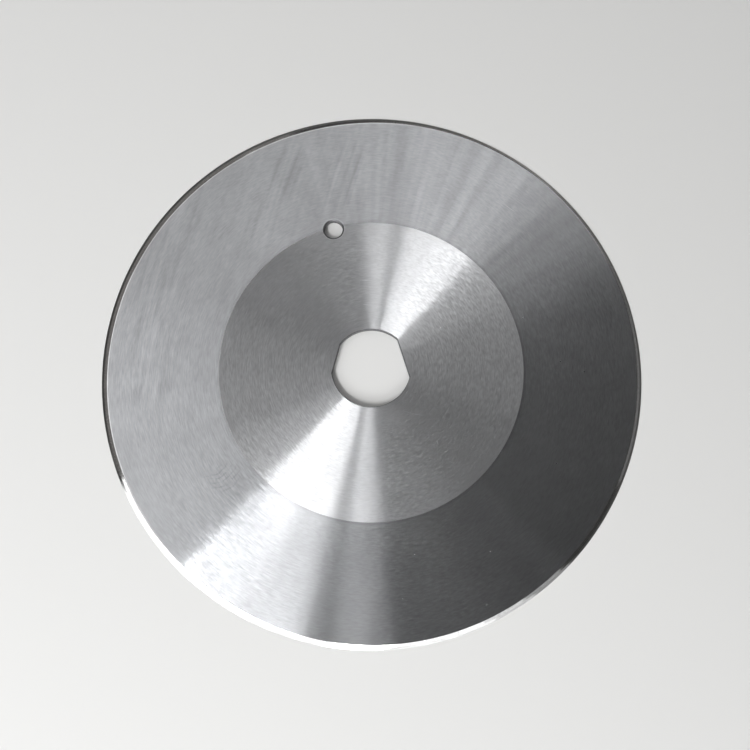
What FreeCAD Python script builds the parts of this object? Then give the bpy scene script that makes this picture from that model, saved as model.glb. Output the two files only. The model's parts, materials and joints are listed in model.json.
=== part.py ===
import FreeCAD, Part
import math
import os
import Sketcher

# A round food slicer blade of stainless steel, ground on one side from a flat disc.
# Millimetres. The blade lies on its flat back face at Z = 0, ground side up, and +Z is the spin axis.
# The origin is the disc's centre on the back face. Seen from above, the two flats of the
# drive bore lean together towards +Y, and the pin hole is at the upper left, on the hub's rim.

# Driving sizes: name, value, meaning
SIZES = [
    ("outer_diameter", 175.0, "across the cutting edge"),
    ("hub_diameter", 98.0, "flat clamping zone in the middle of the ground side"),
    ("hub_thickness", 2.5, "full thickness of the disc"),
    ("bevel_width", 1.75, "cutting bevel, along the radius, from the edge inwards"),
    ("bevel_thickness", 0.85, "left by the taper where the bevel starts"),
    ("hone_width", 0.8, "steeper honed part of the bevel, next to the edge, along the radius"),
    ("hone_thickness", 0.5, "left by the bevel where the honed part starts"),
    ("edge_thickness", 0.1, "left at the very edge"),
    ("bore_diameter", 25.4, "round part of the drive bore"),
    ("left_flat_depth", 0.95, "how far the left flat cuts into the bore's round"),
    ("left_flat_lean", 15.0, "degrees between the left flat and the Y axis"),
    ("right_flat_depth", 1.8, "how far the right flat cuts into the bore's round"),
    ("right_flat_lean", 17.5, "degrees between the right flat and the Y axis"),
    ("bore_chamfer", 0.2, "broken edges of the bore, on both faces"),
    ("pin_diameter", 6.0, "pin hole"),
    ("pin_mouth_diameter", 7.1, "countersunk mouth of the pin hole on the ground side"),
    ("pin_mouth_angle", 90.0, "degrees across the countersink's cone"),
    ("pin_back_chamfer", 0.3, "broken edge of the pin hole on the back face"),
    ("pin_circle_radius", 48.5, "from the spin axis to the pin hole's axis"),
    ("pin_turn", 15.0, "degrees from the Y axis to the pin hole, towards -X"),
]

NODE = "slicer_blade"
CHAMFER_SLOPE = 45
LEAST_CUT = 0.01
HUB_FACE = "Sizes.hub_thickness"

# The sketcher's numbers for the sketch's own origin and for the points of a line or an arc
ROOT, ROOT_POINT = -1, 1
START, END, CENTRE = 1, 2, 3

doc = FreeCAD.newDocument("food_slicer_blade")


def make_sheet():
    sheet = doc.addObject("Spreadsheet::Sheet", "Sizes")
    for row, (name, value, meaning) in enumerate(SIZES, start=1):
        sheet.set(f"A{row}", meaning)
        sheet.set(f"B{row}", str(value))
        sheet.setAlias(f"B{row}", name)
    doc.recompute()
    return sheet


# A sketch on one of the body's own planes, or at the height above it that an expression gives
def new_sketch(body, name, plane_role, height=None):
    sketch = body.newObject("Sketcher::SketchObject", name)
    plane = next(item for item in body.Origin.OriginFeatures if item.Role == plane_role)
    sketch.AttachmentSupport = [(plane, "")]
    sketch.MapMode = "FlatFace"
    if height:
        sketch.setExpression("AttachmentOffset.Base.z", height)
    return sketch


def join(sketch, first, first_point, second, second_point):
    sketch.addConstraint(Sketcher.Constraint("Coincident", first, first_point, second, second_point))


def bind(sketch, name, expression, *constraint):
    index = sketch.addConstraint(Sketcher.Constraint(*constraint))
    sketch.renameConstraint(index, name)
    sketch.setExpression(f"Constraints.{name}", expression)


def polar(radius, degrees):
    angle = math.radians(degrees)
    return FreeCAD.Vector(radius * math.cos(angle), radius * math.sin(angle), 0)


# The ground disc, turned from its half section:
# flat back, thin edge, honed edge, bevel, long taper and flat hub
def turn_disc(body, sheet):
    sketch = new_sketch(body, "half_section", "XZ_Plane")
    edge_radius = sheet.outer_diameter / 2
    corners = [
        FreeCAD.Vector(0, 0, 0),
        FreeCAD.Vector(edge_radius, 0, 0),
        FreeCAD.Vector(edge_radius, sheet.edge_thickness, 0),
        FreeCAD.Vector(edge_radius - sheet.hone_width, sheet.hone_thickness, 0),
        FreeCAD.Vector(edge_radius - sheet.bevel_width, sheet.bevel_thickness, 0),
        FreeCAD.Vector(sheet.hub_diameter / 2, sheet.hub_thickness, 0),
        FreeCAD.Vector(0, sheet.hub_thickness, 0),
    ]
    lines = range(len(corners))
    following = [(line + 1) % len(corners) for line in lines]
    for line in lines:
        sketch.addGeometry(Part.LineSegment(corners[line], corners[following[line]]), False)
    for line in lines:
        join(sketch, line, END, following[line], START)

    back, edge, hone, bevel, taper, hub, axis = lines
    join(sketch, ROOT, ROOT_POINT, back, START)
    for line in (back, hub):
        sketch.addConstraint(Sketcher.Constraint("Horizontal", line))
    for line in (edge, axis):
        sketch.addConstraint(Sketcher.Constraint("Vertical", line))

    # Each size below places the corner at which its line starts
    radii = [
        ("edge_radius", edge, "Sizes.outer_diameter / 2"),
        ("hone_radius", bevel, "Sizes.outer_diameter / 2 - Sizes.hone_width"),
        ("bevel_radius", taper, "Sizes.outer_diameter / 2 - Sizes.bevel_width"),
        ("hub_radius", hub, "Sizes.hub_diameter / 2"),
    ]
    heights = [
        ("edge_height", hone, "Sizes.edge_thickness"),
        ("hone_height", bevel, "Sizes.hone_thickness"),
        ("bevel_height", taper, "Sizes.bevel_thickness"),
        ("hub_height", hub, "Sizes.hub_thickness"),
    ]
    for name, line, expression in radii:
        bind(sketch, name, expression, "DistanceX", ROOT, ROOT_POINT, line, START, corners[line].x)
    for name, line, expression in heights:
        bind(sketch, name, expression, "DistanceY", ROOT, ROOT_POINT, line, START, corners[line].y)

    disc = body.newObject("PartDesign::Revolution", "ground_disc")
    disc.Profile = sketch
    disc.ReferenceAxis = (sketch, ["V_Axis"])
    disc.Angle = 360
    doc.recompute()


# The drive bore's outline: one circle cut short by two flats, each with its own depth and lean.
# Where it is the mouth of a broken edge, chamfer names the size that widens it on every side
def draw_bore_outline(body, sheet, name, height=None, chamfer=None):
    extra = getattr(sheet, chamfer) if chamfer else 0
    plus_extra = f" + Sizes.{chamfer}" if chamfer else ""
    radius = sheet.bore_diameter / 2 + extra
    bound_radius = f"Sizes.bore_diameter / 2{plus_extra}"
    left_distance = radius - sheet.left_flat_depth
    right_distance = radius - sheet.right_flat_depth

    # Directions from the axis, in degrees, to where the flats meet the round part
    left_half = math.degrees(math.acos(left_distance / radius))
    right_half = math.degrees(math.acos(right_distance / radius))
    left_top = 180 - sheet.left_flat_lean - left_half
    left_bottom = 180 - sheet.left_flat_lean + left_half
    right_top = sheet.right_flat_lean + right_half
    right_bottom = 360 + sheet.right_flat_lean - right_half

    sketch = new_sketch(body, name, "XY_Plane", height)
    circle = Part.Circle(FreeCAD.Vector(0, 0, 0), FreeCAD.Vector(0, 0, 1), radius)
    outline = [
        Part.ArcOfCircle(circle, math.radians(right_top), math.radians(left_top)),
        Part.LineSegment(polar(radius, left_top), polar(radius, left_bottom)),
        Part.ArcOfCircle(circle, math.radians(left_bottom), math.radians(right_bottom)),
        Part.LineSegment(polar(radius, right_bottom), polar(radius, right_top)),
    ]
    for curve in outline:
        sketch.addGeometry(curve, False)
    pieces = range(len(outline))
    for piece in pieces:
        join(sketch, piece, END, (piece + 1) % len(outline), START)
    top_arc, left_flat, bottom_arc, right_flat = pieces
    for arc in (top_arc, bottom_arc):
        join(sketch, arc, CENTRE, ROOT, ROOT_POINT)

    sketch.addConstraint(Sketcher.Constraint("Equal", top_arc, bottom_arc))
    bind(sketch, "bore_radius", bound_radius, "Radius", top_arc, radius)
    bind(sketch, "left_distance", f"{bound_radius} - Sizes.left_flat_depth",
         "Distance", ROOT, ROOT_POINT, left_flat, left_distance)
    bind(sketch, "right_distance", f"{bound_radius} - Sizes.right_flat_depth",
         "Distance", ROOT, ROOT_POINT, right_flat, right_distance)
    bind(sketch, "left_direction", "-90 - Sizes.left_flat_lean",
         "Angle", left_flat, math.radians(-90 - sheet.left_flat_lean))
    bind(sketch, "right_direction", "90 + Sizes.right_flat_lean",
         "Angle", right_flat, math.radians(90 + sheet.right_flat_lean))
    return sketch


# A circle at the pin hole's place, on the end of a construction line from the spin axis
def draw_pin_circle(body, sheet, name, height=None, chamfer=None):
    extra = getattr(sheet, chamfer) if chamfer else 0
    plus_extra = f" + Sizes.{chamfer}" if chamfer else ""
    radius = sheet.pin_diameter / 2 + extra
    direction = 90 + sheet.pin_turn
    centre = polar(sheet.pin_circle_radius, direction)

    sketch = new_sketch(body, name, "XY_Plane", height)
    sketch.addGeometry(Part.LineSegment(FreeCAD.Vector(0, 0, 0), centre), True)
    sketch.addGeometry(Part.Circle(centre, FreeCAD.Vector(0, 0, 1), radius), False)
    spoke, circle = range(2)
    join(sketch, ROOT, ROOT_POINT, spoke, START)
    join(sketch, spoke, END, circle, CENTRE)
    bind(sketch, "pin_circle_radius", "Sizes.pin_circle_radius", "Distance", spoke, sheet.pin_circle_radius)
    bind(sketch, "pin_direction", "90 + Sizes.pin_turn", "Angle", spoke, math.radians(direction))
    bind(sketch, "hole_radius", f"Sizes.pin_diameter / 2{plus_extra}", "Radius", circle, radius)
    return sketch


def cut_through(body, name, sketch):
    pocket = body.newObject("PartDesign::Pocket", name)
    pocket.Profile = sketch
    pocket.Type = "ThroughAll"
    pocket.Reversed = True
    doc.recompute()


# A broken edge is a shallow pocket that starts as wide as the chamfer makes its mouth
# and narrows with depth, down to the hole's own wall
def break_edge(body, name, mouth, size, upward):
    pocket = body.newObject("PartDesign::Pocket", name)
    pocket.Profile = mouth
    pocket.Type = "Length"
    pocket.setExpression("Length", size)
    pocket.TaperAngle = -CHAMFER_SLOPE
    pocket.Reversed = upward
    doc.recompute()


# The keyed bore that centres and drives the blade, with its edges broken on both faces
def cut_drive_bore(body, sheet):
    cut_through(body, "drive_bore", draw_bore_outline(body, sheet, "bore_outline"))
    front = draw_bore_outline(body, sheet, "bore_front_mouth", height=HUB_FACE, chamfer="bore_chamfer")
    break_edge(body, "bore_front_edge", front, "Sizes.bore_chamfer", upward=False)
    back = draw_bore_outline(body, sheet, "bore_back_mouth", chamfer="bore_chamfer")
    break_edge(body, "bore_back_edge", back, "Sizes.bore_chamfer", upward=True)


# The pin hole, drilled and countersunk from the hub's face. It straddles the hub's rim,
# so the outer half of the countersink runs out into the taper
def drill_pin_hole(body, sheet):
    place = draw_pin_circle(body, sheet, "pin_place", height=HUB_FACE)
    doc.recompute()
    hole = body.newObject("PartDesign::Hole", "pin_hole")
    hole.Profile = place
    hole.DepthType = "ThroughAll"
    hole.ThreadType = "None"
    hole.HoleCutType = "Countersink"
    hole.HoleCutCustomValues = True
    hole.setExpression("Diameter", "Sizes.pin_diameter")
    hole.setExpression("HoleCutDiameter", "Sizes.pin_mouth_diameter")
    hole.setExpression("HoleCutCountersinkAngle", "Sizes.pin_mouth_angle")
    doc.recompute()
    back = draw_pin_circle(body, sheet, "pin_back_mouth", chamfer="pin_back_chamfer")
    break_edge(body, "pin_back_edge", back, "Sizes.pin_back_chamfer", upward=True)


def make_blade(sheet):
    body = doc.addObject("PartDesign::Body", NODE)
    body.Label = NODE
    turn_disc(body, sheet)
    cut_drive_bore(body, sheet)
    drill_pin_hole(body, sheet)
    body.Placement = FreeCAD.Placement(FreeCAD.Vector(0, 0, 0), FreeCAD.Rotation(0, 0, 0))
    doc.recompute()
    return body


def check_document():
    for item in doc.Objects:
        if "Invalid" in item.State or "Error" in item.State:
            raise RuntimeError(f"{item.Label} failed: {item.getStatusString()}")


# A cut that points away from the solid shows no error, so each one has to make the volume smaller
def check_cuts(body):
    features = [item for item in body.Group if item.isDerivedFrom("PartDesign::Feature")]
    for before, after in zip(features, features[1:]):
        if before.Shape.Volume - after.Shape.Volume < LEAST_CUT:
            raise RuntimeError(f"{after.Label} cuts nothing")


def check_solid(body):
    shape = body.Shape
    if shape.isNull() or not shape.isValid() or len(shape.Solids) != 1:
        raise RuntimeError(f"{body.Label} is not one sound solid")


sizes = make_sheet()
blade = make_blade(sizes)
check_document()
check_cuts(blade)
check_solid(blade)
os.makedirs("parts", exist_ok=True)
blade.Shape.exportStep(f"parts/{NODE}.step")
print(f"{NODE}: {blade.Shape.Volume / 1000:.2f} cm3, {len(blade.Shape.Faces)} faces")
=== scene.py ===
import json
import math

import bmesh
import bpy
from mathutils import Matrix, Vector


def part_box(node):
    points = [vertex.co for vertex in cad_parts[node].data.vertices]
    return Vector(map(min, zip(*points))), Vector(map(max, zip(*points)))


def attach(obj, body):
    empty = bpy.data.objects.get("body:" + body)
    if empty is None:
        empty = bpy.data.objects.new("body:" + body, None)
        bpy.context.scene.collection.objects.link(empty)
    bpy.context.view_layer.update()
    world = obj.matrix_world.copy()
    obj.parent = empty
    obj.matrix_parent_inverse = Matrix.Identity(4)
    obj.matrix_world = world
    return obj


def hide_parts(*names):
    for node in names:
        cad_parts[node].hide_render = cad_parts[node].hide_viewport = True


# A round food slicer blade of ground steel on a pale studio floor. Metres, +Z up.
# The blade lies on its flat back, with the spin axis along Z and its ground side up.

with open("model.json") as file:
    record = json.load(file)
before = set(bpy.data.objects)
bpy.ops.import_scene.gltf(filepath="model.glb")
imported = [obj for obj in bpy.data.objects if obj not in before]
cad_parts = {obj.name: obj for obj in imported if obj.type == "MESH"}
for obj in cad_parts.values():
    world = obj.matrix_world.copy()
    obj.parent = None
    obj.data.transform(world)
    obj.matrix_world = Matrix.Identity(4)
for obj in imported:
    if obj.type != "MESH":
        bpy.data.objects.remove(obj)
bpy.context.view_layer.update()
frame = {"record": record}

MM = 0.001
NODE = "slicer_blade"

# Sizes read from the frame
mounts = {mount["name"]: mount for mount in frame["record"]["mounts"]}
node_low, node_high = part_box(NODE)
RIM_RADIUS = min(node_high.x, node_high.y, -node_low.x, -node_low.y)
HUB_HEIGHT = node_high.z
BORE_RADIUS = mounts["drive_bore"]["dims"]["r_mm"] * MM
PIN_RADIUS = mounts["pin_hole"]["dims"]["r_mm"] * MM
PIN_CENTRE = Vector(mounts["pin_hole"]["pos_m"]).to_2d()

# The hub's rim and the soft arris across it. Where the arris is steepest, it slopes so many times
# as much as the taper.
HUB_RADIUS = 49 * MM
ARRIS_START = 48.5 * MM
ARRIS_STEEPEST = 49.2 * MM
ARRIS_END = 50 * MM
ARRIS_TIMES = 1.5
ARRIS_STEP = 0.125 * MM

# The cutting rim: the bevel, its honed part and the thin edge by their width and height, the line
# of painted highlight beside the bevel, and how far the corners are broken to each side
BEVEL_WIDTH = 1.75 * MM
BEVEL_HEIGHT = 0.85 * MM
HONE_WIDTH = 0.8 * MM
HONE_HEIGHT = 0.5 * MM
EDGE_HEIGHT = 0.1 * MM
LINE_WIDTH = 0.3 * MM
CORNER = 0.05 * MM

# How far the bevel's line strays from a circle: off-centre, twice round and three times round, and
# the share of it that the hone's line takes
BEVEL_SHIFT = Vector((0.3 * MM, -0.03 * MM))
BEVEL_OVAL = 0.15 * MM
BEVEL_LOBES = 0.12 * MM
HONE_SHARE = 0.4

# Rings of the mesh on the hub, the taper and the back, by their radius in millimetres, the edge's
# two rings as shares of its height, and the faces in a ring
HUB_RINGS = (16, 24, 32, 40, 46)
TAPER_RINGS = (54, 60, 66, 72, 78, 83)
BACK_RINGS = (87.3, 80, 64, 48, 32, 16)
EDGE_RINGS = (0.7, 0.2)
SEGMENTS = 720

# The drive bore: its broken edges, its flats by their distance from the axis and the direction
# they face, and the steps of its upper and lower arc
BORE_CHAMFER = 0.2 * MM
RIGHT_FLAT = (10.9 * MM, math.radians(17.5))
LEFT_FLAT = (11.75 * MM, math.radians(165))
UPPER_STEPS = 90
LOWER_STEPS = 150

# The pin hole: its mouth on the ground side, its broken edge on the back and its steps round
PIN_MOUTH = 0.55 * MM
PIN_BACK_CHAMFER = 0.3 * MM
PIN_STEPS = 144

# How far the hole cutters reach past the blade's faces, and the angle from which a corner is sharp
PAST_FACE = 0.5 * MM
SHARP_ANGLE = math.radians(5)

# Material slots of the blade, in order, and the colours of the steel in them
HUB, TAPER, LINE, BEVEL, HONE, WALL, BACK = range(7)
HUB_STEEL = (0.594, 0.600, 0.614)
TAPER_STEEL = (0.556, 0.565, 0.582)
# The line beside the bevel is a painted highlight, far lighter than the taper's steel
HIGHLIGHT_LINE_STEEL = (0.95, 0.95, 0.96)
BEVEL_STEEL = (0.74, 0.74, 0.745)
HONE_STEEL = (0.50, 0.50, 0.50)
# The holes' walls are darkened with painted shade
SHADED_WALL_STEEL = (0.2, 0.2, 0.21)

# How each ground face scatters light. Wide and narrow are the half widths of its gloss, as slopes,
# square to the scratches and along them, and base is the half width of its broader sheen. Across
# and along are how many fine scratches lie side by side and end to end in a metre. Tilt, wander and
# waves are how much the scratches lean outwards, lean round the axis and sway slowly, and streaks
# is how much their shade varies.
HUB_FINISH = {
    "wide": 0.46,
    "narrow": 0.0136,
    "base": 0.46,
    "across": 2700.0,
    "along": 420.0,
    "tilt": 0.32,
    "wander": 0.05,
    "waves": 0.008,
    "streaks": 0.22,
}
TAPER_FINISH = {
    "wide": 0.107,
    "narrow": 0.006,
    "base": 0.25,
    "across": 3000.0,
    "along": 330.0,
    "tilt": 0.17,
    "wander": 0.02,
    "waves": 0.018,
    "streaks": 0.30,
}
BEVEL_FINISH = {
    "wide": 0.014,
    "narrow": 0.010,
    "base": 0.03,
    "across": 2600.0,
    "along": 150.0,
    "tilt": 0.02,
    "wander": 0.02,
    "waves": 0.0,
    "streaks": 0.5,
}

# A second, shorter set of scratches: its across and along, as shares of the first set's
SHORT_ACROSS = 0.8
SHORT_ALONG = 1.6

# The slow sway of the scratches, and the bars that the wheel leaves across the bevel: how many lie
# in a metre outwards and in a radian round the axis
SWAY = (22.0, 13.0)
CROSS_BARS = (500.0, 150.0)

# The holes' walls: roughness, grain in a metre across and along, and how much its shade varies
WALL_ROUGHNESS = 0.5
WALL_GRAIN = (3000.0, 1500.0)
WALL_STREAKS = 0.5

# Share of the broader sheen in the ground steel, with its Principled anisotropy, and the factor
# from its half width to its squared roughness
BASE_SHARE = 0.3
BASE_ANISOTROPY = 1.0
BASE_ASPECT = math.sqrt(1 - 0.9 * BASE_ANISOTROPY)

# Marks on the ground side, in millimetres from the spin axis: scratches by their middle, direction
# in degrees, length, width and how much lighter or, below 0, darker they are, specks of dust and
# pits, painted as bright glints, by their place and size, and patches of painted reflection
# streaks by their middle, direction, length and width
SCRATCHES = (
    (46.4, 54.4, -38, 4.8, 0.28, 0.32),
    (39.9, 27.2, -47, 3.6, 0.26, 0.28),
    (-2.5, 29.2, 0, 4.4, 0.26, 0.36),
    (-1.9, 21.0, 0, 2.4, 0.26, 0.36),
    (11.6, -14.4, -17, 4.0, 0.28, 0.28),
    (14.9, -15.2, -9, 4.2, 0.28, 0.28),
    (-40.8, -28.8, -56, 10.4, 0.24, 0.14),
    (-48.8, -37.0, 90, 11.0, 0.32, -0.10),
    (-51.4, -34.7, 11, 4.8, 0.32, -0.09),
)
# Specks of dust and pits, painted as bright glints
SPECK_GLINTS = (
    (49.5, 16.6, 0.46),
    (61.1, 2.1, 0.42),
    (68.7, -1.2, 0.44),
    (22.5, 13.2, 0.34),
    (58.5, -30.7, 0.42),
    (37.0, -57.8, 0.56),
    (13.5, -58.7, 0.28),
    (9.7, -72.0, 0.24),
    (35.5, -73.8, 0.44),
)
SPECK_GLINT_GAIN = 4.0
# Patches where the painted reflection streaks are strongest
REFLECTION_STREAK_PATCHES = (
    (-63.4, 45.8, 72, 36.0, 15.0),
    (-70.9, 26.3, 81, 46.0, 18.0),
    (-29.2, 66.0, 72, 38.0, 14.0),
    (-36.6, 47.5, 74, 32.0, 13.0),
    (-9.6, 65.6, 76, 38.0, 16.0),
    (-71.0, 4.0, 86, 46.0, 24.0),
)

# Strokes of the painted reflection streaks: how far they lean, how much more in each metre towards
# +Y, how many narrow and broad ones lie in a metre across and along, how much these change the
# shade, how strong they are in the patches, and the least and the most that they are elsewhere
STROKE_LEAN = 0.14
STROKE_TURN = 1.2
NARROW_STROKES = (560.0, 26.0, 0.0)
BROAD_STROKES = (190.0, 20.0, 0.0)
NARROW_DEPTH = 0.7
BROAD_DEPTH = 0.5
PATCH_STRENGTH = 0.7
LEAST_STRENGTH = 0.04
MOST_STRENGTH = 0.2

# Broad bands of painted reflection that fan out: how many in a metre outwards and in a radian,
# and how strong they are
REFLECTION_BANDS = (8.0, 17.0)
REFLECTION_BAND_STRENGTH = 0.55

# Painted shade that dims a sector of the bright fan: the sector's direction, how far to each side
# it is whole and where it ends, in degrees, the radii between which it deepens, and how much it
# darkens there
FAN_SHADE_DIRECTION = 236.5
FAN_SHADE_WHOLE = 5.5
FAN_SHADE_END = 9.5
FAN_SHADE_RADII = (52 * MM, 86 * MM)
FAN_SHADE_DEPTHS = (0.02, 0.25)

# Slow changes of shade: how many in a metre and how deep
MOTTLE_SCALE = 150.0
MOTTLE_DEPTH = 0.03

# A fingerprint: its oval patch as in the marks above, the middle of its curved ridges, the
# outermost ridge, the step between ridges, how far they stray, and how dark they are
PRINT_PATCH = (-45.8, -35.0, 35, 13.0, 10.5)
PRINT_CENTRE = Vector((-50.5, -28.5, 0.0)) * MM
PRINT_RADIUS = 9.9 * MM
PRINT_STEP = 1.5 * MM
PRINT_BEND = 2.0 * MM
PRINT_BEND_SCALE = 260.0
PRINT_GAP_SCALE = 420.0
PRINT_DARKNESS = 0.17

# Painted shade in a line outside the hub, where the slope changes: where it starts, is darkest
# and ends, and how dark it is
ARRIS_SHADE_START = HUB_RADIUS - 0.2 * MM
ARRIS_SHADE_MIDDLE = HUB_RADIUS + 0.3 * MM
ARRIS_SHADE_END = ARRIS_END + 0.2 * MM
ARRIS_SHADE_DEPTH = 0.12

# Painted highlight on the lip of the pin hole: where it starts to fade, where it ends, and how
# bright it is
LIP_START = PIN_RADIUS + PIN_MOUTH + 0.1 * MM
LIP_END = PIN_RADIUS + PIN_MOUTH + 0.35 * MM
LIP_HIGHLIGHT = 1.25

# How far the lamps stand from the middle of the blade
LAMP_DISTANCE = 1.0


# Short ways to add and join shader nodes
class Nodes:
    def __init__(self, tree):
        self.tree = tree

    def add(self, kind, inputs=None, **settings):
        node = self.tree.nodes.new("ShaderNode" + kind)
        for name, value in settings.items():
            setattr(node, name, value)
        for name, value in (inputs or {}).items():
            self.feed(node.inputs[name], value)
        return node

    def feed(self, socket, value):
        if isinstance(value, bpy.types.NodeSocket):
            self.tree.links.new(value, socket)
        else:
            socket.default_value = value

    def maths(self, operation, *values):
        node = self.add("Math", operation=operation)
        for socket, value in zip(node.inputs, values):
            self.feed(socket, value)
        return node.outputs[0]

    def vector(self, operation, *values):
        node = self.add("VectorMath", operation=operation)
        for socket, value in zip(node.inputs, values):
            self.feed(socket, value)
        return node.outputs["Value" if operation in ("LENGTH", "DOT_PRODUCT") else "Vector"]

    def scaled(self, vector, factor):
        node = self.add("VectorMath", operation="SCALE")
        self.feed(node.inputs["Vector"], vector)
        self.feed(node.inputs["Scale"], factor)
        return node.outputs["Vector"]

    def combine(self, x, y, z):
        return self.add("CombineXYZ", {"X": x, "Y": y, "Z": z}).outputs[0]

    def ramp(self, value, low, high, low_value=0.0, high_value=1.0, smooth=True):
        node = self.add("MapRange", interpolation_type="SMOOTHSTEP" if smooth else "LINEAR")
        for name, number in (
            ("Value", value),
            ("From Min", low),
            ("From Max", high),
            ("To Min", low_value),
            ("To Max", high_value),
        ):
            self.feed(node.inputs[name], number)
        return node.outputs["Result"]

    def noise(self, vector, scale=1.0, detail=2.0, roughness=0.5):
        settings = {"Vector": vector, "Scale": scale, "Detail": detail, "Roughness": roughness}
        return self.add("TexNoise", settings).outputs


def new_material(name):
    material = bpy.data.materials.new(name)
    material.use_nodes = True
    material.node_tree.nodes.clear()
    return material, Nodes(material.node_tree)


def finish_material(nodes, shader):
    output = nodes.add("OutputMaterial")
    nodes.tree.links.new(shader, output.inputs["Surface"])


# Place on the disc: the point, its distance from the spin axis, and the directions
# outwards and round the axis
def disc_place(nodes):
    point = nodes.add("TexCoord").outputs["Object"]
    flat = nodes.vector("MULTIPLY", point, (1, 1, 0))
    radius = nodes.vector("LENGTH", flat)
    outward = nodes.vector("NORMALIZE", flat)
    around = nodes.vector("CROSS_PRODUCT", (0, 0, 1), outward)
    return point, radius, outward, around


def centred(nodes, value, amount):
    return nodes.maths("MULTIPLY", nodes.maths("SUBTRACT", value, 0.5), amount)


# Noise drawn out round the axis: features per metre across and along the turning direction
def turned_noise(nodes, point, radius, across, along, detail=2.0, roughness=0.5):
    parts = nodes.add("SeparateXYZ", {"Vector": point}).outputs
    place = nodes.combine(
        nodes.maths("MULTIPLY", radius, across),
        nodes.maths("MULTIPLY", parts["X"], along),
        nodes.maths("MULTIPLY", parts["Y"], along),
    )
    colour = nodes.noise(place, detail=detail, roughness=roughness)["Color"]
    return nodes.add("SeparateColor", {"Color": colour}).outputs


# Noise in wedges that open outwards, as many in each radian as wedges says
def wedge_noise(nodes, radius, outward, across, wedges):
    parts = nodes.add("SeparateXYZ", {"Vector": outward}).outputs
    place = nodes.combine(
        nodes.maths("MULTIPLY", radius, across),
        nodes.maths("MULTIPLY", parts["X"], wedges),
        nodes.maths("MULTIPLY", parts["Y"], wedges),
    )
    colour = nodes.noise(place)["Color"]
    return nodes.add("SeparateColor", {"Color": colour}).outputs


# Steel ground round the axis. The scratches run one way, so light spreads wide square to them and
# stays narrow along them, and each scratch tilts the surface a little. Cross marks are the bars
# that the wheel leaves across a narrow ground edge.
def ground_steel(name, colour, finish, marks=(), cross_marks=False):
    material, nodes = new_material(name)
    point, radius, outward, around = disc_place(nodes)
    across, along = finish["across"], finish["along"]
    if cross_marks:
        fine = wedge_noise(nodes, radius, outward, *CROSS_BARS)
        short = turned_noise(nodes, point, radius, across, along)
    else:
        fine = turned_noise(nodes, point, radius, across, along)
        short = turned_noise(nodes, point, radius, across * SHORT_ACROSS, along * SHORT_ALONG)
    wedge = wedge_noise(nodes, radius, outward, *SWAY)

    around_tilt = nodes.maths(
        "ADD",
        centred(nodes, fine["Red"], finish["wander"]),
        centred(nodes, wedge["Red"], finish["waves"]),
    )
    outward_tilt = nodes.maths(
        "ADD",
        centred(nodes, fine["Red"], finish["tilt"]),
        centred(nodes, short["Red"], -finish["tilt"]),
    )
    tilted = nodes.vector(
        "ADD",
        nodes.scaled(outward, outward_tilt),
        nodes.scaled(around, around_tilt),
    )
    normal = nodes.vector("ADD", nodes.add("NewGeometry").outputs["Normal"], tilted)
    normal = nodes.vector("NORMALIZE", normal)

    shade = nodes.maths("ADD", 1.0, centred(nodes, fine["Red"], finish["streaks"]))
    shade = nodes.maths("ADD", shade, centred(nodes, short["Red"], finish["streaks"]))
    for mark in marks:
        shade = nodes.maths("MULTIPLY", shade, mark(nodes, point, radius, outward))
    tint = nodes.scaled(colour, shade)

    wide, narrow = finish["wide"], finish["narrow"]
    gloss = nodes.add(
        "BsdfAnisotropic",
        {
            "Color": tint,
            "Roughness": (wide * narrow) ** 0.25,
            "Anisotropy": 1 - math.sqrt(narrow / wide),
            "Normal": normal,
            "Tangent": around,
        },
        distribution="GGX",
    )
    base = nodes.add(
        "BsdfPrincipled",
        {
            "Base Color": tint,
            "Metallic": 1.0,
            "Roughness": math.sqrt(finish["base"] * BASE_ASPECT),
            "Anisotropic": BASE_ANISOTROPY,
            "Normal": normal,
            "Tangent": outward,
        },
    )
    shader = nodes.add("MixShader", {0: BASE_SHARE, 1: gloss.outputs[0], 2: base.outputs[0]})
    finish_material(nodes, shader.outputs[0])
    return material


# Rough steel for the walls of the holes, its dark colour painted shade inside the holes
def wall_steel(name):
    material, nodes = new_material(name)
    point, radius, outward, around = disc_place(nodes)
    fine = turned_noise(nodes, point, radius, *WALL_GRAIN)
    shade = nodes.maths("ADD", 1.0, centred(nodes, fine["Red"], WALL_STREAKS))
    metal = nodes.add(
        "BsdfPrincipled",
        {
            "Base Color": nodes.scaled(SHADED_WALL_STEEL, shade),
            "Metallic": 1.0,
            "Roughness": WALL_ROUGHNESS,
        },
    )
    finish_material(nodes, metal.outputs[0])
    return material


# Which side of the blade a place is on: 1 in the given direction from the axis, -1 opposite
def side_of(nodes, outward, degrees):
    turn = math.radians(degrees)
    return nodes.vector("DOT_PRODUCT", outward, (math.cos(turn), math.sin(turn), 0.0))


# How near a point is to the middle of an oval mark: 1 inside, 0 past its edge
def oval(nodes, point, x, y, degrees, length, width):
    place = nodes.add(
        "Mapping",
        {
            "Vector": nodes.vector("MULTIPLY", point, (1, 1, 0)),
            "Location": (x * MM, y * MM, 0.0),
            "Rotation": (0.0, 0.0, math.radians(degrees)),
            "Scale": (length / 2 * MM, width / 2 * MM, 1.0),
        },
        vector_type="TEXTURE",
    )
    return nodes.ramp(nodes.vector("LENGTH", place.outputs[0]), 0.5, 1.0, 1.0, 0.0)


# The distance from a place on the disc's plane, seen from above
def distance_from(nodes, point, place):
    flat = nodes.vector("MULTIPLY", point, (1, 1, 0))
    return nodes.vector("LENGTH", nodes.vector("SUBTRACT", flat, place))
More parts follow.
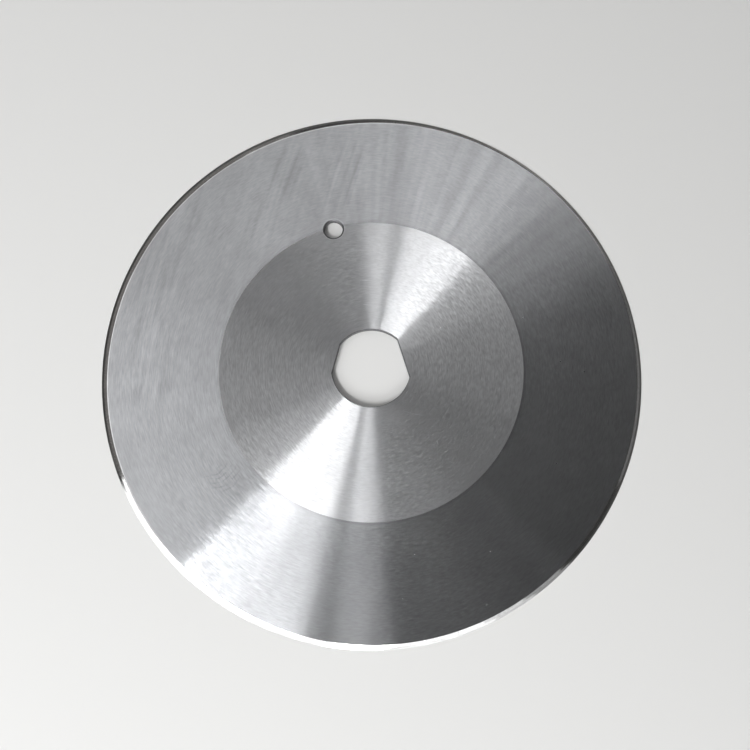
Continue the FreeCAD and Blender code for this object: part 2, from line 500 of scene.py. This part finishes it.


# Painted reflection streaks on the taper, in long slanting strokes that lean more towards +Y
def reflection_streaks(nodes, point, radius, outward):
    parts = nodes.add("SeparateXYZ", {"Vector": point}).outputs
    lean = nodes.maths("ADD", STROKE_LEAN, nodes.maths("MULTIPLY", parts["Y"], STROKE_TURN))
    across = nodes.maths("SUBTRACT", parts["X"], nodes.maths("MULTIPLY", parts["Y"], lean))
    stroke = nodes.combine(across, parts["Y"], 0.0)
    narrow = nodes.noise(nodes.vector("MULTIPLY", stroke, NARROW_STROKES), detail=1.0)["Fac"]
    broad = nodes.noise(nodes.vector("MULTIPLY", stroke, BROAD_STROKES), detail=2.0)["Fac"]
    back_left = side_of(nodes, outward, 125)
    strength = nodes.ramp(back_left, -0.1, 0.8, LEAST_STRENGTH, MOST_STRENGTH)
    for x, y, degrees, length, width in REFLECTION_STREAK_PATCHES:
        patch = oval(nodes, point, x, y, degrees, length, width)
        patch_strength = nodes.maths("MULTIPLY", patch, PATCH_STRENGTH)
        strength = nodes.maths("MAXIMUM", strength, patch_strength)
    drift = nodes.maths(
        "ADD",
        centred(nodes, narrow, NARROW_DEPTH),
        centred(nodes, broad, BROAD_DEPTH),
    )
    return nodes.maths("ADD", 1.0, nodes.maths("MULTIPLY", drift, strength))


# Broad bands of painted reflection that fan out over the taper's far side
def reflection_bands(nodes, point, radius, outward):
    wedge = wedge_noise(nodes, radius, outward, *REFLECTION_BANDS)
    strength = nodes.ramp(side_of(nodes, outward, 65), 0.5, 0.95, 0.0, REFLECTION_BAND_STRENGTH)
    drift = nodes.maths("MULTIPLY", centred(nodes, wedge["Blue"], 1.0), strength)
    return nodes.maths("ADD", 1.0, drift)


# Painted shade over a sector of the taper's bright fan, deeper towards the rim
def fan_painted_shade(nodes, point, radius, outward):
    whole, end = math.cos(math.radians(FAN_SHADE_WHOLE)), math.cos(math.radians(FAN_SHADE_END))
    sector = nodes.ramp(side_of(nodes, outward, FAN_SHADE_DIRECTION), end, whole)
    depth = nodes.ramp(radius, *FAN_SHADE_RADII, *FAN_SHADE_DEPTHS, smooth=False)
    return nodes.maths("SUBTRACT", 1.0, nodes.maths("MULTIPLY", sector, depth))


# Slow, faint changes of shade
def mottle(nodes, point, radius, outward):
    drift = nodes.noise(nodes.scaled(point, MOTTLE_SCALE), detail=2.0)["Fac"]
    return nodes.ramp(drift, 0.3, 0.7, 1 - MOTTLE_DEPTH, 1 + MOTTLE_DEPTH)


def scratches(nodes, point, radius, outward):
    shade = 1.0
    for x, y, degrees, length, width, gain in SCRATCHES:
        mark = oval(nodes, point, x, y, degrees, length, width)
        shade = nodes.maths("ADD", shade, nodes.maths("MULTIPLY", mark, gain))
    return shade


# Specks of dust and pits, painted as bright glints many times lighter than the steel
def speck_glints(nodes, point, radius, outward):
    shade = 1.0
    for x, y, size in SPECK_GLINTS:
        mark = oval(nodes, point, x, y, 0, size, size)
        shade = nodes.maths("ADD", shade, nodes.maths("MULTIPLY", mark, SPECK_GLINT_GAIN))
    return shade


# Part of a fingerprint on the taper: dark, curved and broken ridges in an oval patch
def fingerprint(nodes, point, radius, outward):
    patch = oval(nodes, point, *PRINT_PATCH)
    wobble = nodes.noise(nodes.scaled(point, PRINT_BEND_SCALE))["Fac"]
    bent = nodes.maths(
        "ADD",
        distance_from(nodes, point, PRINT_CENTRE),
        centred(nodes, wobble, PRINT_BEND),
    )
    distance = nodes.maths("SUBTRACT", bent, PRINT_RADIUS)
    ridges = nodes.maths("COSINE", nodes.maths("MULTIPLY", distance, math.tau / PRINT_STEP))
    broken = nodes.ramp(nodes.noise(nodes.scaled(point, PRINT_GAP_SCALE))["Fac"], 0.38, 0.5)
    part = nodes.maths("MULTIPLY", patch, broken)
    dark = nodes.maths("MULTIPLY", nodes.ramp(ridges, 0.3, 0.9), part)
    return nodes.maths("SUBTRACT", 1.0, nodes.maths("MULTIPLY", dark, PRINT_DARKNESS))


# Painted shade in a line where the taper starts, just outside the hub
def arris_painted_shade(nodes, point, radius, outward):
    inner = nodes.ramp(radius, ARRIS_SHADE_START, ARRIS_SHADE_MIDDLE, 0.0, ARRIS_SHADE_DEPTH)
    outer = nodes.ramp(radius, ARRIS_SHADE_MIDDLE, ARRIS_SHADE_END, 1.0, 0.0)
    return nodes.maths("SUBTRACT", 1.0, nodes.maths("MULTIPLY", inner, outer))


# Painted highlight on the line beside the bevel, brighter towards -X
def highlight_line_side(nodes, point, radius, outward):
    return nodes.ramp(side_of(nodes, outward, 160), -0.1, 0.5, 0.6, 1.0)


# Painted highlight on the thin lip round the pin hole
def pin_lip_highlight(nodes, point, radius, outward):
    distance = distance_from(nodes, point, PIN_CENTRE.to_3d())
    return nodes.ramp(distance, LIP_START, LIP_END, LIP_HIGHLIGHT, 1.0)


def make_blade_materials():
    shared = (mottle, scratches, speck_glints, arris_painted_shade, pin_lip_highlight)
    taper_marks = (reflection_streaks, reflection_bands, fan_painted_shade, fingerprint, *shared)
    return [
        ground_steel("hub_steel", HUB_STEEL, HUB_FINISH, shared),
        ground_steel("taper_steel", TAPER_STEEL, TAPER_FINISH, taper_marks),
        ground_steel("highlight_line_steel", HIGHLIGHT_LINE_STEEL, TAPER_FINISH, (reflection_streaks, highlight_line_side)),
        ground_steel("bevel_steel", BEVEL_STEEL, BEVEL_FINISH, cross_marks=True),
        ground_steel("hone_steel", HONE_STEEL, BEVEL_FINISH),
        wall_steel("hole_wall_steel"),
        ground_steel("back_steel", HUB_STEEL, HUB_FINISH, (mottle,)),
    ]


# Slope of the ground side across the arris: it grows from level to its steepest, then settles to
# the taper's
def arris_slope(radius, taper):
    if radius < ARRIS_STEEPEST:
        share = (radius - ARRIS_START) / (ARRIS_STEEPEST - ARRIS_START)
        return taper * ARRIS_TIMES * share
    share = (radius - ARRIS_STEEPEST) / (ARRIS_END - ARRIS_STEEPEST)
    return taper * (ARRIS_TIMES + (1 - ARRIS_TIMES) * share)


# Slope of the taper on a straight line from the hub's rim to the bevel
def taper_slope():
    return (HUB_HEIGHT - BEVEL_HEIGHT) / (RIM_RADIUS - BEVEL_WIDTH - HUB_RADIUS)


# The half section from the hub outwards, then back along the flat face: distance from the axis,
# height, how much of the bevel's unevenness it takes, and the material of the face that follows
def half_section():
    bevel_radius = RIM_RADIUS - BEVEL_WIDTH
    section = [(radius * MM, HUB_HEIGHT, 0.0, HUB) for radius in HUB_RINGS]
    radius, height = ARRIS_START, HUB_HEIGHT
    while radius < ARRIS_END - ARRIS_STEP / 2:
        section.append((radius, height, 0.0, HUB if radius < HUB_RADIUS else TAPER))
        height -= arris_slope(radius + ARRIS_STEP / 2, taper_slope()) * ARRIS_STEP
        radius += ARRIS_STEP
    rest = (height - BEVEL_HEIGHT) / (bevel_radius - radius)
    for place in (radius, *(ring * MM for ring in TAPER_RINGS)):
        section.append((place, height - rest * (place - radius), 0.0, TAPER))
    for inside, material in ((LINE_WIDTH, LINE), (CORNER, BEVEL)):
        section.append((bevel_radius - inside, BEVEL_HEIGHT + rest * inside, 1.0, material))
    bevel_slope = (BEVEL_HEIGHT - HONE_HEIGHT) / (BEVEL_WIDTH - HONE_WIDTH)
    section.append((bevel_radius + CORNER, BEVEL_HEIGHT - bevel_slope * CORNER, 1.0, BEVEL))
    section.append((RIM_RADIUS - HONE_WIDTH, HONE_HEIGHT, HONE_SHARE, HONE))
    hone_slope = (HONE_HEIGHT - EDGE_HEIGHT) / HONE_WIDTH
    section.append((RIM_RADIUS - CORNER / 2, EDGE_HEIGHT + hone_slope * CORNER / 2, 0.0, HONE))
    for share in EDGE_RINGS:
        section.append((RIM_RADIUS, EDGE_HEIGHT * share, 0.0, HONE))
    for ring in BACK_RINGS:
        section.append((ring * MM, 0.0, 0.0, BACK))
    return section


# How far the bevel's line stands off its mean circle: ground a little off-centre and uneven
def bevel_offset(turn):
    direction = Vector((math.cos(turn), math.sin(turn)))
    shift = BEVEL_SHIFT.dot(direction)
    return shift + BEVEL_OVAL * math.sin(2 * turn) - BEVEL_LOBES * math.cos(3 * turn)


# The disc before its holes are cut: the half section turned round the axis. A ring that strays
# outwards goes down with the taper, so that the faces stay ground flat.
def turned_disc():
    mesh = bmesh.new()
    section = half_section()
    slope = taper_slope()
    rings = []
    for radius, height, uneven, _ in section:
        ring = []
        for number in range(SEGMENTS):
            turn = math.tau * number / SEGMENTS
            offset = uneven * bevel_offset(turn)
            x, y = (radius + offset) * math.cos(turn), (radius + offset) * math.sin(turn)
            ring.append(mesh.verts.new((x, y, height - slope * offset)))
        rings.append(ring)
    for (_, _, _, material), inner, outer in zip(section, rings, rings[1:]):
        for number in range(SEGMENTS):
            following = (number + 1) % SEGMENTS
            corners = (inner[number], outer[number], outer[following], inner[following])
            face = mesh.faces.new(corners)
            face.material_index = material
            face.smooth = True
    top = mesh.faces.new(rings[0])
    top.material_index = HUB
    bottom = mesh.faces.new(reversed(rings[-1]))
    bottom.material_index = BACK
    top.smooth = bottom.smooth = True
    return mesh


# The keyed outline of the bore, grown on every side: the two flats and two arcs of one circle
def bore_outline(grown):
    radius = BORE_RADIUS + grown
    points = []
    corners = []
    for distance, direction in (RIGHT_FLAT, LEFT_FLAT):
        half = math.acos((distance + grown) / radius)
        corners.append((direction - half, direction + half))
    (right_start, right_end), (left_start, left_end) = corners
    arcs = (
        (right_end, left_start, UPPER_STEPS),
        (left_end, right_start + math.tau, LOWER_STEPS),
    )
    for start, end, steps in arcs:
        for step in range(steps + 1):
            turn = start + (end - start) * step / steps
            points.append((radius * math.cos(turn), radius * math.sin(turn)))
    return points


def circle_outline(centre, radius):
    points = []
    for number in range(PIN_STEPS):
        turn = math.tau * number / PIN_STEPS
        points.append((centre.x + radius * math.cos(turn), centre.y + radius * math.sin(turn)))
    return points


# A closed solid through outlines with as many points each, lowest first
def cutter(name, levels):
    mesh = bmesh.new()
    rings = []
    for outline, height in levels:
        rings.append([mesh.verts.new((x, y, height)) for x, y in outline])
    for lower, upper in zip(rings, rings[1:]):
        count = len(lower)
        for number in range(count):
            following = (number + 1) % count
            corners = (lower[number], lower[following], upper[following], upper[number])
            face = mesh.faces.new(corners)
            face.smooth = True
    mesh.faces.new(reversed(rings[0]))
    mesh.faces.new(rings[-1])
    for face in mesh.faces:
        face.material_index = WALL
    return mesh_object(name, mesh)


def mesh_object(name, mesh):
    data = bpy.data.meshes.new(name)
    mesh.to_mesh(data)
    mesh.free()
    piece = bpy.data.objects.new(name, data)
    bpy.context.scene.collection.objects.link(piece)
    return piece


def hole_cutters():
    bore = [
        (bore_outline(BORE_CHAMFER + PAST_FACE), -PAST_FACE),
        (bore_outline(0.0), BORE_CHAMFER),
        (bore_outline(0.0), HUB_HEIGHT - BORE_CHAMFER),
        (bore_outline(BORE_CHAMFER + PAST_FACE), HUB_HEIGHT + PAST_FACE),
    ]
    pin = [
        (circle_outline(PIN_CENTRE, PIN_RADIUS + PIN_BACK_CHAMFER + PAST_FACE), -PAST_FACE),
        (circle_outline(PIN_CENTRE, PIN_RADIUS), PIN_BACK_CHAMFER),
        (circle_outline(PIN_CENTRE, PIN_RADIUS), HUB_HEIGHT - PIN_MOUTH),
        (circle_outline(PIN_CENTRE, PIN_RADIUS + PIN_MOUTH + PAST_FACE), HUB_HEIGHT + PAST_FACE),
    ]
    return [cutter("bore_cutter", bore), cutter("pin_cutter", pin)]


def cut_holes(blade, cutters):
    for tool in cutters:
        cut = blade.modifiers.new(tool.name, "BOOLEAN")
        cut.operation = "DIFFERENCE"
        cut.solver = "EXACT"
        cut.object = tool
    graph = bpy.context.evaluated_depsgraph_get()
    cut_mesh = bpy.data.meshes.new_from_object(blade.evaluated_get(graph))
    blade.modifiers.clear()
    old = blade.data
    blade.data = cut_mesh
    bpy.data.meshes.remove(old)
    for tool in cutters:
        bpy.data.objects.remove(tool)


def make_blade():
    blade = mesh_object("ground_blade", turned_disc())
    cutters = hole_cutters()
    for material in make_blade_materials():
        for piece in (blade, *cutters):
            piece.data.materials.append(material)
    cut_holes(blade, cutters)
    blade.data.set_sharp_from_angle(angle=SHARP_ANGLE)
    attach(blade, "root")
    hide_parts(NODE)


# A round pale floor that turns up into a low wall, far behind everything. It lies a hair under the
# blade's back.
def make_floor():
    flat_radius, wall_height, bend, bend_steps, segments = 2.0, 0.9, 0.5, 12, 128
    gap = 0.02 * MM
    section = [(flat_radius, 0.0)]
    for step in range(1, bend_steps + 1):
        turn = math.pi / 2 * step / bend_steps
        section.append((flat_radius + bend * math.sin(turn), bend * (1 - math.cos(turn))))
    section.append((flat_radius + bend, wall_height))
    turns = [math.tau * number / segments for number in range(segments)]
    mesh = bmesh.new()
    rings = []
    for radius, height in section:
        points = [(radius * math.cos(turn), radius * math.sin(turn), height) for turn in turns]
        rings.append([mesh.verts.new(point) for point in points])
    mesh.faces.new(rings[0])
    for inner, outer in zip(rings, rings[1:]):
        for number in range(segments):
            following = (number + 1) % segments
            corners = (inner[number], outer[number], outer[following], inner[following])
            face = mesh.faces.new(corners)
            face.smooth = True
    floor = mesh_object("studio_floor", mesh)
    material, nodes = new_material("pale_floor")
    paint = nodes.add("BsdfPrincipled", {"Base Color": (0.8, 0.8, 0.79, 1.0), "Roughness": 0.9})
    finish_material(nodes, paint.outputs[0])
    floor.data.materials.append(material)
    floor.location.z = -gap


# A soft rectangular lamp that faces the blade. Azimuth runs from +X towards +Y and polar from +Z,
# in degrees, and roll turns the lamp about its own axis. Shift moves it along its own width.
def soft_lamp(
    name, azimuth, polar, width, height, roll, radiance, shift=0.0, colour=(1.0, 1.0, 1.0)
):
    azimuth, polar, roll = (math.radians(angle) for angle in (azimuth, polar, roll))
    away = Vector((
        math.sin(polar) * math.cos(azimuth),
        math.sin(polar) * math.sin(azimuth),
        math.cos(polar),
    ))
    side = Vector((-math.sin(azimuth), math.cos(azimuth), 0.0))
    side = Matrix.Rotation(roll, 3, away) @ side
    up = away.cross(side)
    light = bpy.data.lights.new(name, "AREA")
    light.shape = "RECTANGLE"
    light.size = width
    light.size_y = height
    light.energy = radiance * math.pi * width * height
    light.color = colour
    lamp = bpy.data.objects.new(name, light)
    turned = Matrix((side, up, away)).transposed().to_4x4()
    lamp.matrix_world = Matrix.Translation(away * LAMP_DISTANCE + side * shift) @ turned
    lamp.visible_camera = False
    bpy.context.scene.collection.objects.link(lamp)


def make_lamps():
    # The key, in two bars side by side with a gap: the bright fans on both sides of the bore
    key = {"azimuth": 234.8, "polar": 39.6, "height": 0.064, "roll": -20.4}
    soft_lamp("key_lamp_left", width=0.255, radiance=55.0, shift=-0.0915, **key)
    soft_lamp("key_lamp_right", width=0.167, radiance=47.5, shift=0.1385, **key)

    # The narrow rays beside the fans, and soft light from the back, from above and from the left
    soft_lamp("narrow_lamp", 266.0, 61.2, 0.218, 0.289, -14.7, 12.8)
    soft_lamp("north_lamp", 72.0, 49.2, 1.214, 0.623, 28.0, 0.54, shift=0.015)
    soft_lamp("overhead_strip", 121.4, 6.3, 0.016, 0.159, 105.7, 24.4)
    soft_lamp("left_strip", 169.9, 32.3, 0.826, 0.084, 41.3, 1.12)
    soft_lamp("left_lamp", 159.0, 28.8, 0.832, 0.619, -13.8, 0.70)
    soft_lamp("north_strip", 76.9, 27.5, 0.526, 0.334, -32.7, 0.27)
    soft_lamp("low_lamp", 226.7, 52.7, 1.068, 0.261, 35.7, 2.72, shift=-0.107)
    soft_lamp("narrow_fill", 264.2, 42.0, 0.078, 0.10, 0.0, 5.2)

    # Lamps that the bevel and the hone mirror to the camera, so that the rim shines at the left,
    # the front and the right. The rows on the right get dimmer to their tips.
    rim = {"height": 0.10, "roll": 0.0}
    soft_lamp("left_rim_lamp", 204.2, 55.5, 0.309, radiance=2.0, **rim)
    soft_lamp("front_hone_lamp", 240.0, 64.5, 0.729, 0.13, 0.0, 2.4)
    soft_lamp("front_bevel_lamp", 255.5, 52.3, 0.351, radiance=1.5, **rim)
    soft_lamp("right_hone_lamp", 285.5, 67.5, 0.48, radiance=2.5, **rim)
    soft_lamp("right_hone_lamp_end", 305.5, 69.0, 0.179, radiance=1.35, **rim)
    soft_lamp("right_hone_lamp_tip", 316.5, 70.0, 0.179, radiance=0.5, **rim)
    soft_lamp("right_bevel_lamp", 283.0, 55.2, 0.439, radiance=1.7, **rim)
    soft_lamp("right_bevel_lamp_end", 303.5, 57.2, 0.162, radiance=1.0, **rim)
    soft_lamp("right_bevel_lamp_tip", 314.5, 58.5, 0.164, radiance=0.4, **rim)

    # Faint walls of a room at the left and the right
    soft_lamp("warm_wall", 150.0, 56.0, 1.6, 0.30, 0.0, 0.13, colour=(1.0, 0.95, 0.9))
    soft_lamp("right_wall", 12.0, 62.0, 0.9, 0.25, 0.0, 0.11)


# Light from all round: pale at the horizon and dim overhead, where the camera stands
def make_world():
    overhead_strength, horizon_strength, fall = 0.029, 0.141, 2.57
    world = bpy.data.worlds.new("studio")
    bpy.context.scene.world = world
    world.use_nodes = True
    world.node_tree.nodes.clear()
    nodes = Nodes(world.node_tree)
    direction = nodes.add("TexCoord").outputs["Generated"]
    up = nodes.add("SeparateXYZ", {"Vector": direction}).outputs["Z"]
    low = nodes.maths("SUBTRACT", 1.0, nodes.maths("MAXIMUM", up, 0.0))
    near_horizon = nodes.maths("POWER", low, fall)
    strength = nodes.ramp(
        near_horizon, 0.0, 1.0, overhead_strength, horizon_strength, smooth=False
    )
    background = nodes.add("Background", {"Color": (1.0, 0.98, 0.95, 1.0), "Strength": strength})
    output = nodes.add("OutputWorld")
    nodes.tree.links.new(background.outputs[0], output.inputs["Surface"])


# The photograph's viewpoint: above the blade, a little towards -Y
def make_camera():
    place = Vector((2.44, -46.93, 253.0)) * MM
    target = Vector((1.22, -1.96, 0.0)) * MM
    focal_pixels, image_pixels, sensor = 792.0, 750.0, 36.0
    data = bpy.data.cameras.new("camera")
    data.sensor_width = sensor
    data.lens = focal_pixels / image_pixels * sensor
    data.clip_start = 0.01
    forward = (target - place).normalized()
    right = forward.cross(Vector((0, 1, 0))).normalized()
    up = right.cross(forward)
    turned = Matrix((right, up, -forward)).transposed().to_4x4()
    camera = bpy.data.objects.new("camera", data)
    camera.matrix_world = Matrix.Translation(place) @ turned
    bpy.context.scene.collection.objects.link(camera)
    bpy.context.scene.camera = camera


bpy.context.scene.view_settings.view_transform = "Standard"
make_blade()
make_floor()
make_lamps()
make_world()
make_camera()
